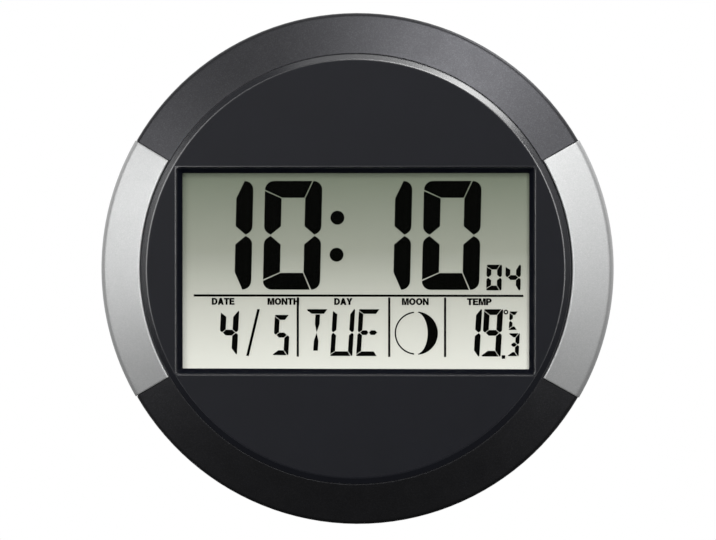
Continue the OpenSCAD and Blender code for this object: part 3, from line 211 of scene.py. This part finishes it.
def flake_paint(name, colour, flake, rough, metal, density=3200, edge=0.0004):
    """Metallic paint: fine bright flakes in a darker ground."""
    mat, tree, shader = new_material(name)
    cells = node(tree, "ShaderNodeTexVoronoi", Scale=density)
    tree.links.new(object_coords(tree), cells.inputs["Vector"])
    dark = shade(colour, 0.1)[0]
    speck = ramp(tree, cells.outputs["Color"], [(0.0, dark), (0.55, colour), (0.95, flake)])
    tree.links.new(speck, shader.inputs["Base Color"])
    uneven = spread(tree, noise(tree, 120, 3), rough - 0.04, rough + 0.04)
    tree.links.new(uneven, shader.inputs["Roughness"])
    tree.links.new(bump(tree, noise(tree, 1800, 2), 0.15, 0.00002, edge), shader.inputs["Normal"])
    shader.inputs["Metallic"].default_value = metal
    return mat


def metal(name, colour, rough):
    """Bare metal with fine drawn streaks."""
    mat, tree, shader = new_material(name)
    dark, light = shade(colour, 0.1)
    cloud = ramp(tree, noise(tree, 300, 3), [(0.3, dark), (0.7, light)])
    tree.links.new(cloud, shader.inputs["Base Color"])
    uneven = spread(tree, noise(tree, 900, 4), rough - 0.08, rough + 0.08)
    tree.links.new(uneven, shader.inputs["Roughness"])
    shader.inputs["Metallic"].default_value = 1.0
    return mat


def film(name, colour, alpha, rough=0.2):
    """Thin clear layer of the display, almost unseen."""
    mat, tree, shader = new_material(name)
    dark, light = shade(colour, 0.03)
    tree.links.new(ramp(tree, noise(tree, 40, 2), [(0.3, dark), (0.7, light)]), shader.inputs["Base Color"])
    tree.links.new(spread(tree, noise(tree, 90, 2), rough - 0.05, rough + 0.05), shader.inputs["Roughness"])
    shader.inputs["Alpha"].default_value = alpha
    return mat


def clear_lens(name):
    """Clear acrylic pane: see-through, with a faint gloss."""
    mat, tree, shader = new_material(name)
    tree.nodes.remove(shader)
    through = node(tree, "ShaderNodeBsdfTransparent", Color=(0.98, 0.99, 0.98, 1))
    gloss = node(tree, "ShaderNodeBsdfAnisotropic")
    tree.links.new(spread(tree, noise(tree, 50, 3), 0.04, 0.10), gloss.inputs["Roughness"])
    mix = node(tree, "ShaderNodeMixShader", Fac=LENS_GLOSS)
    tree.links.new(through.outputs["BSDF"], mix.inputs[1])
    tree.links.new(gloss.outputs["BSDF"], mix.inputs[2])
    tree.links.new(mix.outputs["Shader"], tree.nodes["Material Output"].inputs["Surface"])
    return mat


def math_node(tree, operation, a, b=None):
    """A calculation with one or two values, each a socket or a number."""
    m = node(tree, "ShaderNodeMath", operation=operation)
    for socket, value in zip(m.inputs, (a, b)):
        if isinstance(value, float):
            socket.default_value = value
        elif value is not None:
            tree.links.new(value, socket)
    return m.outputs["Value"]


def from_window(tree):
    """Distance out from the window's edge, in metres, below zero inside it."""
    place = node(tree, "ShaderNodeSeparateXYZ")
    tree.links.new(object_coords(tree), place.inputs["Vector"])
    across = math_node(tree, "ABSOLUTE", place.outputs["X"])
    above = math_node(tree, "SUBTRACT", place.outputs["Z"], (WINDOW_LOW + WINDOW_HIGH) / 2)
    up = math_node(tree, "ABSOLUTE", above)
    return math_node(tree, "MAXIMUM", math_node(tree, "SUBTRACT", across, WINDOW_HALF),
                     math_node(tree, "SUBTRACT", up, (WINDOW_HIGH - WINDOW_LOW) / 2))


def fascia_plastic(name, colour):
    """Satin moulding: polished on its lip and along the window's edge, matt on the window's bevel."""
    mat, tree, shader = new_material(name)
    dark, light = shade(colour, 0.08)
    cloud = ramp(tree, noise(tree, CLOUDS, 3), [(0.3, dark), (0.7, light)])
    tree.links.new(cloud, shader.inputs["Base Color"])
    flat = node(tree, "ShaderNodeVectorMath", operation="MULTIPLY")
    flat.inputs[1].default_value = (1, 0, 1)
    tree.links.new(object_coords(tree), flat.inputs[0])
    away = node(tree, "ShaderNodeVectorMath", operation="LENGTH")
    tree.links.new(flat.outputs["Vector"], away.inputs[0])
    lip = spread_from(tree, away.outputs["Value"], LIP_FROM, LIP_FROM + LIP_BLEND)
    out = from_window(tree)
    off_edge = math_node(tree, "ABSOLUTE", math_node(tree, "SUBTRACT", out, BEVEL_W))
    polish = math_node(tree, "MAXIMUM", lip, spread_from(tree, off_edge, EDGE_GLOSS, EDGE_GLOSS / 2))
    open_side = spread_from(tree, out, BEVEL_W - 2 * EDGE_GLOSS, BEVEL_W - EDGE_GLOSS)
    satin = spread(tree, noise(tree, PATCHES, 4), *SATIN_ROUGH)
    rough = node(tree, "ShaderNodeMix")
    tree.links.new(polish, rough.inputs["Factor"])
    tree.links.new(satin, rough.inputs["A"])
    rough.inputs["B"].default_value = POLISHED_ROUGH
    tree.links.new(rough.outputs["Result"], shader.inputs["Roughness"])
    shader.inputs["IOR"].default_value = FASCIA_IOR
    gloss = math_node(tree, "MULTIPLY", spread(tree, polish, SATIN_GLOSS, POLISHED_GLOSS),
                      spread(tree, open_side, BEVEL_GLOSS_SHARE, 1.0))
    tree.links.new(gloss, shader.inputs["Specular IOR Level"])
    tree.links.new(bump(tree, noise(tree, GRAIN, 2), 0.2, 0.00002, FASCIA_EDGE), shader.inputs["Normal"])
    return mat


def display_film(name):
    """Grey-green reflective film behind the display, with painted shade: darker above, paler below, with a
    fine sparkle.
    """
    mat, tree, shader = new_material(name)
    place = node(tree, "ShaderNodeSeparateXYZ")
    tree.links.new(object_coords(tree), place.inputs["Vector"])
    # Base colour: the film's grey-green with painted shade, pale at the lower edge of the window and dark at
    # its upper edge
    ground = ramp(tree, spread_from(tree, place.outputs["Z"], WINDOW_LOW, WINDOW_HIGH), FILM_SHADE_STOPS)
    sparkle = node(tree, "ShaderNodeMix", data_type="RGBA", blend_type="OVERLAY")
    sparkle.inputs["Factor"].default_value = FILM_SPARKLE
    tree.links.new(ground, sparkle.inputs["A"])
    tree.links.new(noise(tree, 4000, 1), sparkle.inputs["B"])
    tree.links.new(sparkle.outputs["Result"], shader.inputs["Base Color"])
    tree.links.new(spread(tree, noise(tree, 800, 2), 0.55, 0.7), shader.inputs["Roughness"])
    shader.inputs["Specular IOR Level"].default_value = 0.2
    return mat


MATERIALS = {
    "bezel_grey": flake_paint("bezel_grey", (0.0476, 0.0478, 0.0515), (0.068, 0.068, 0.0735), 0.40, 0.94),
    "trim_silver": flake_paint("trim_silver", (0.42, 0.426, 0.425), (0.472, 0.472, 0.472), 0.40, 0.60,
                               edge=0.001),
    "fascia_black": fascia_plastic("fascia_black", (0.0026, 0.0031, 0.0058)),
    "lens_clear": clear_lens("lens_clear"),
    "gasket_foam": plastic("gasket_foam", (0.012, 0.012, 0.012), 0.9, grain=4000),
    "polariser_film": film("polariser_film", (0.02, 0.022, 0.02), 0.01),
    "display_glass": film("display_glass", (0.02, 0.022, 0.02), 0.01),
    "segment_black": plastic("segment_black", (0.0010, 0.0011, 0.0008), 0.8, grain=5000,
                             grain_depth=0.000002, edge=0.0, gloss=0.0),
    "seal_epoxy": plastic("seal_epoxy", (0.4, 0.4, 0.35), 0.6),
    "reflector_film": display_film("reflector_film"),
    "holder_white": plastic("holder_white", (0.62, 0.62, 0.58), 0.5),
    "zebra_rubber": plastic("zebra_rubber", (0.45, 0.25, 0.28), 0.8),
    "board_green": plastic("board_green", (0.015, 0.10, 0.04), 0.35),
    "chip_black": plastic("chip_black", (0.008, 0.008, 0.008), 0.25),
    "can_steel": metal("can_steel", (0.6, 0.6, 0.6), 0.3),
    "capacitor_can": plastic("capacitor_can", (0.03, 0.04, 0.12), 0.3),
    "resistor_body": plastic("resistor_body", (0.02, 0.02, 0.02), 0.4),
    "sensor_bead": plastic("sensor_bead", (0.02, 0.04, 0.14), 0.3),
    "ferrite": plastic("ferrite", (0.03, 0.03, 0.03), 0.7),
    "copper_wire": metal("copper_wire", (0.6, 0.28, 0.12), 0.35),
    "wire_yellow": plastic("wire_yellow", (0.6, 0.48, 0.05), 0.45),
    "wire_red": plastic("wire_red", (0.45, 0.02, 0.02), 0.45),
    "wire_black": plastic("wire_black", (0.012, 0.012, 0.012), 0.45),
    "cover_black": plastic("cover_black", (0.016, 0.016, 0.018), 0.58, grain=1600, grain_depth=0.00006),
    "cell_jacket": plastic("cell_jacket", (0.05, 0.13, 0.10), 0.3),
    "contact_metal": metal("contact_metal", (0.66, 0.64, 0.58), 0.3),
    "mat_silicone": plastic("mat_silicone", (0.22, 0.22, 0.23), 0.7),
    "key_grey": plastic("key_grey", (0.055, 0.055, 0.06), 0.5, grain=2200, edge=0.0004),
    "screw_steel": metal("screw_steel", (0.52, 0.52, 0.5), 0.35),
}

# Every CAD node takes the material of its slot in the record
for part in frame["record"]["subparts"]:
    mesh = nodes[part["node"]].data
    mesh.materials.clear()
    mesh.materials.append(MATERIALS[part["material_slot"]])


def pane(name, low, high, bevel):
    """A clear pane between two corners, with ground edges."""
    mesh = bpy.data.meshes.new(name)
    bm = bmesh.new()
    bmesh.ops.create_cube(bm, size=1.0)
    size = [h - l for l, h in zip(low, high)]
    middle = [(h + l) / 2 for l, h in zip(low, high)]
    for v in bm.verts:
        v.co = [v.co[i] * size[i] + middle[i] for i in range(3)]
    bmesh.ops.bevel(bm, geom=list(bm.edges), offset=bevel, segments=2, affect="EDGES")
    bm.to_mesh(mesh)
    bm.free()
    piece = bpy.data.objects.new(name, mesh)
    bpy.context.scene.collection.objects.link(piece)
    return piece


# Polariser and both glasses are bonded into one cell: they show as one clear block with ground edges,
# with the segments inside it; it stops a hair in front of the reflector, so that no two faces share a plane
CELL_EDGE = 0.00025
CELL_CLEAR = 0.00003
CELL_LAYERS = ("lcd_front_polariser", "lcd_front_glass", "lcd_rear_glass")
layers = [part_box(layer) for layer in CELL_LAYERS]
cell_low = [min(low[i] for low, high in layers) for i in range(3)]
cell_high = [max(high[i] for low, high in layers) for i in range(3)]
cell_high[1] -= CELL_CLEAR
cell = pane("display_cell", cell_low, cell_high, CELL_EDGE)
cell.data.materials.append(MATERIALS["display_glass"])
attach(cell, "case")
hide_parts(*CELL_LAYERS)

# Words above the lower row of the display: where they stand, height and thickness of the capitals, and the
# middle and width of each word; then the gap between letters and what is added to their strokes, in the
# letters' own units
LABEL_Z = -0.0155
LABEL_H = 0.0030
LABEL_DEPTH = 0.00006
LABELS = {"DATE": (-0.0634, 0.0106), "MONTH": (-0.0346, 0.0149), "DAY": (-0.0060, 0.0084),
          "MOON": (0.0283, 0.0125), "TEMP": (0.0588, 0.0114)}
LETTER_GAP = 0.12
LETTER_BOLD = 0.045


def bow(cx, cy, rx, ry, start, end, steps=10):
    """Points along part of an ellipse, from one angle to another in degrees."""
    turns = [math.radians(start + (end - start) * i / steps) for i in range(steps + 1)]
    return [(cx + rx * math.cos(t), cy + ry * math.sin(t)) for t in turns]


# Plain block capitals one unit high: width, then the outline and any hole
LETTERS = {
    "A": (0.76, [[(0, 0), (0.27, 1), (0.49, 1), (0.76, 0), (0.55, 0), (0.49, 0.2), (0.27, 0.2), (0.21, 0)],
                 [(0.32, 0.37), (0.44, 0.37), (0.38, 0.7)]]),
    "D": (0.74, [[(0, 0), (0, 1)] + bow(0.34, 0.5, 0.40, 0.5, 90, -90),
                 [(0.2, 0.17), (0.2, 0.83)] + bow(0.33, 0.5, 0.21, 0.33, 90, -90)]),
    "E": (0.64, [[(0, 0), (0, 1), (0.62, 1), (0.62, 0.83), (0.2, 0.83), (0.2, 0.6), (0.58, 0.6),
                  (0.58, 0.43), (0.2, 0.43), (0.2, 0.17), (0.64, 0.17), (0.64, 0)]]),
    "H": (0.74, [[(0, 0), (0, 1), (0.2, 1), (0.2, 0.6), (0.54, 0.6), (0.54, 1), (0.74, 1), (0.74, 0),
                  (0.54, 0), (0.54, 0.43), (0.2, 0.43), (0.2, 0)]]),
    "M": (0.88, [[(0, 0), (0, 1), (0.28, 1), (0.44, 0.34), (0.60, 1), (0.88, 1), (0.88, 0), (0.69, 0),
                  (0.69, 0.74), (0.53, 0), (0.35, 0), (0.19, 0.74), (0.19, 0)]]),
    "N": (0.74, [[(0, 0), (0, 1), (0.21, 1), (0.55, 0.38), (0.55, 1), (0.74, 1), (0.74, 0), (0.53, 0),
                  (0.19, 0.62), (0.19, 0)]]),
    "O": (0.84, [bow(0.42, 0.5, 0.42, 0.51, 90, -252, 19), bow(0.42, 0.5, 0.22, 0.34, 90, -252, 19)]),
    "P": (0.68, [[(0, 0), (0, 1)] + bow(0.38, 0.69, 0.30, 0.31, 90, -90) + [(0.2, 0.38), (0.2, 0)],
                 [(0.2, 0.55), (0.2, 0.83)] + bow(0.37, 0.69, 0.11, 0.14, 90, -90)]),
    "T": (0.66, [[(0, 1), (0.66, 1), (0.66, 0.83), (0.43, 0.83), (0.43, 0), (0.23, 0), (0.23, 0.83),
                  (0, 0.83)]]),
    "Y": (0.74, [[(0, 1), (0.23, 1), (0.37, 0.62), (0.51, 1), (0.74, 1), (0.47, 0.4), (0.47, 0), (0.27, 0),
                  (0.27, 0.4)]]),
}
seg_low, seg_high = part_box("lcd_segments")


def embolden(loop, by):
    """Moves each edge of an outline outwards, or inwards where the distance is below zero."""
    points = [Vector(q) for q in loop]
    area = sum(p.x * q.y - q.x * p.y for p, q in zip(points, points[1:] + points[:1]))
    side = by * math.copysign(1, area)
    grown = []
    for before, here, after in zip(points[-1:] + points[:-1], points, points[1:] + points[:1]):
        into, out = (here - before).normalized(), (after - here).normalized()
        normal = Vector((into.y + out.y, -into.x - out.x))
        grown.append(here + normal * side / max(1 + into.dot(out), 0.5))
    return grown


def label(word, middle, width):
    """A word on the display, in the plane of its segments: thin closed letters."""
    run = sum(LETTERS[c][0] for c in word) + LETTER_GAP * (len(word) - 1)
    wide = width / run
    front, back = [(seg_low[1] + seg_high[1]) / 2 + d * LABEL_DEPTH / 2 for d in (-1, 1)]
    verts, faces = [], []
    pen = middle - width / 2
    for c in word:
        letter_w, loops = LETTERS[c]
        loops = [embolden(loop, -LETTER_BOLD if i else LETTER_BOLD) for i, loop in enumerate(loops)]
        loops = [[(pen + u * wide, LABEL_Z + (v - 0.5) * LABEL_H) for u, v in loop] for loop in loops]
        flat = [q for loop in loops for q in loop]
        base, count = len(verts), len(flat)
        verts += [(x, front, z) for x, z in flat] + [(x, back, z) for x, z in flat]
        for tri in tessellate_polygon([[Vector((x, z, 0)) for x, z in loop] for loop in loops]):
            faces.append([base + i for i in tri])
            faces.append([base + count + i for i in reversed(tri)])
        start = base
        for loop in loops:
            n = len(loop)
            faces += [(start + i, start + (i + 1) % n, start + count + (i + 1) % n, start + count + i)
                      for i in range(n)]
            start += n
        pen += (letter_w + LETTER_GAP) * wide
    mesh = bpy.data.meshes.new("label_" + word.lower())
    mesh.from_pydata(verts, [], faces)
    bm = bmesh.new()
    bm.from_mesh(mesh)
    bmesh.ops.recalc_face_normals(bm, faces=bm.faces)
    bm.to_mesh(mesh)
    bm.free()
    piece = bpy.data.objects.new("label_" + word.lower(), mesh)
    bpy.context.scene.collection.objects.link(piece)
    mesh.materials.append(MATERIALS["segment_black"])
    piece.visible_shadow = False
    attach(piece, "case")


for word, (middle, width) in LABELS.items():
    label(word, middle, width)

# Fascia and segments throw no shadow, so that the film looks evenly lit up to the window's edges
nodes["fascia"].visible_shadow = False
nodes["lcd_segments"].visible_shadow = False


def area_light(name, place, size, power, aim=(0, -0.02, 0)):
    """A soft box aimed at the clock."""
    lamp = bpy.data.lights.new(name, "AREA")
    lamp.shape = "RECTANGLE"
    lamp.size, lamp.size_y = size
    lamp.energy = power
    box = bpy.data.objects.new(name, lamp)
    bpy.context.scene.collection.objects.link(box)
    box.location = place
    box.rotation_euler = (Vector(aim) - Vector(place)).to_track_quat("-Z", "Y").to_euler()


def white_world():
    """White to the camera; to the clock, a dim studio in front and a brighter one behind."""
    world = bpy.data.worlds.new("studio")
    bpy.context.scene.world = world
    world.use_nodes = True
    tree = world.node_tree
    ground = tree.nodes["Background"]
    direction = node(tree, "ShaderNodeSeparateXYZ")
    tree.links.new(node(tree, "ShaderNodeTexCoord").outputs["Generated"], direction.inputs["Vector"])
    height = direction.outputs["Z"]
    front = ramp(tree, spread_from(tree, height, *SKY_SPAN), [(0.0, SKY_LOW), (1.0, SKY_HIGH)])
    back = node(tree, "ShaderNodeMix", data_type="RGBA")
    tree.links.new(spread_from(tree, direction.outputs["Y"], *FRONT_TO_BACK), back.inputs["Factor"])
    tree.links.new(front, back.inputs["A"])
    behind = ramp(tree, spread_from(tree, height, *BACK_SPAN), [(0.0, BACK_LOW), (1.0, BACK_HIGH)])
    tree.links.new(behind, back.inputs["B"])
    tree.links.new(back.outputs["Result"], ground.inputs["Color"])
    white = node(tree, "ShaderNodeBackground", Color=(1, 1, 1, 1))
    path = node(tree, "ShaderNodeLightPath")
    mix = node(tree, "ShaderNodeMixShader")
    tree.links.new(path.outputs["Is Camera Ray"], mix.inputs["Fac"])
    tree.links.new(ground.outputs["Background"], mix.inputs[1])
    tree.links.new(white.outputs["Background"], mix.inputs[2])
    tree.links.new(mix.outputs["Shader"], tree.nodes["World Output"].inputs["Surface"])


def camera():
    """Camera aimed at the middle of the rim; the clock fills the frame as it does in the photograph."""
    low, high = cad_box
    rim = Vector((0, (low.y + high.y) / 2, 0))
    radius = (high.x - low.x) / 2
    data = bpy.data.cameras.new("camera")
    cam = bpy.data.objects.new("camera", data)
    bpy.context.scene.collection.objects.link(cam)
    level = math.cos(CAMERA_RISE)
    away = Vector((math.sin(CAMERA_TURN) * level, -math.cos(CAMERA_TURN) * level, math.sin(CAMERA_RISE)))
    cam.location = rim + CAMERA_AWAY * away
    cam.rotation_euler = (math.radians(90) - CAMERA_RISE, 0, CAMERA_TURN)
    data.sensor_width = SENSOR
    data.lens = SENSOR * (RADIUS_PX / radius) * CAMERA_AWAY / FRAME_W
    data.shift_x = (FRAME_W / 2 - CENTRE_PX[0]) / FRAME_W
    data.shift_y = (CENTRE_PX[1] - FRAME_H / 2) / FRAME_W
    bpy.context.scene.camera = cam


white_world()
for light in LIGHTS:
    area_light(*light)
camera()
bpy.context.scene.view_settings.view_transform = "Standard"
